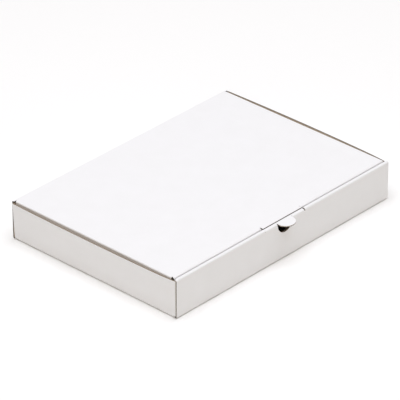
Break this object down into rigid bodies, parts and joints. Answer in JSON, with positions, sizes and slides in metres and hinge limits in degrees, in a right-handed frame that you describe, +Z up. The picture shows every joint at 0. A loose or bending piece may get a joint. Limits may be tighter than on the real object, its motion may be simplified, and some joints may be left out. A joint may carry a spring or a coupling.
{
  "type": "corrugated mailer box",
  "caption": "Flat rectangular mailer box folded from white corrugated board, with a rolled-over front wall, a thumb tab and a hinged tuck-in lid.",
  "frame": {"origin": "centre of the box's flat underside, between its outside faces", "axes": "+X along the front face, -Y out of the front face with the thumb tab, +Z up through the lid"},
  "size_m": [0.35, 0.2616, 0.048],
  "materials": {
    "tray_board": "white-lined corrugated board, matte",
    "lid_board": "white-lined corrugated board, matte"
  },
  "bodies": {
    "tray": {"tray": "tray_board"},
    "lid": {"lid": "lid_board"}
  },
  "joints": [
    {"name": "lid_fold", "type": "hinge", "parent": "tray", "child": "lid", "pos_m": [0, 0.12447, 0.04747], "axis": [-1, 0, 0], "range_deg": [0, 180]}
  ]
}
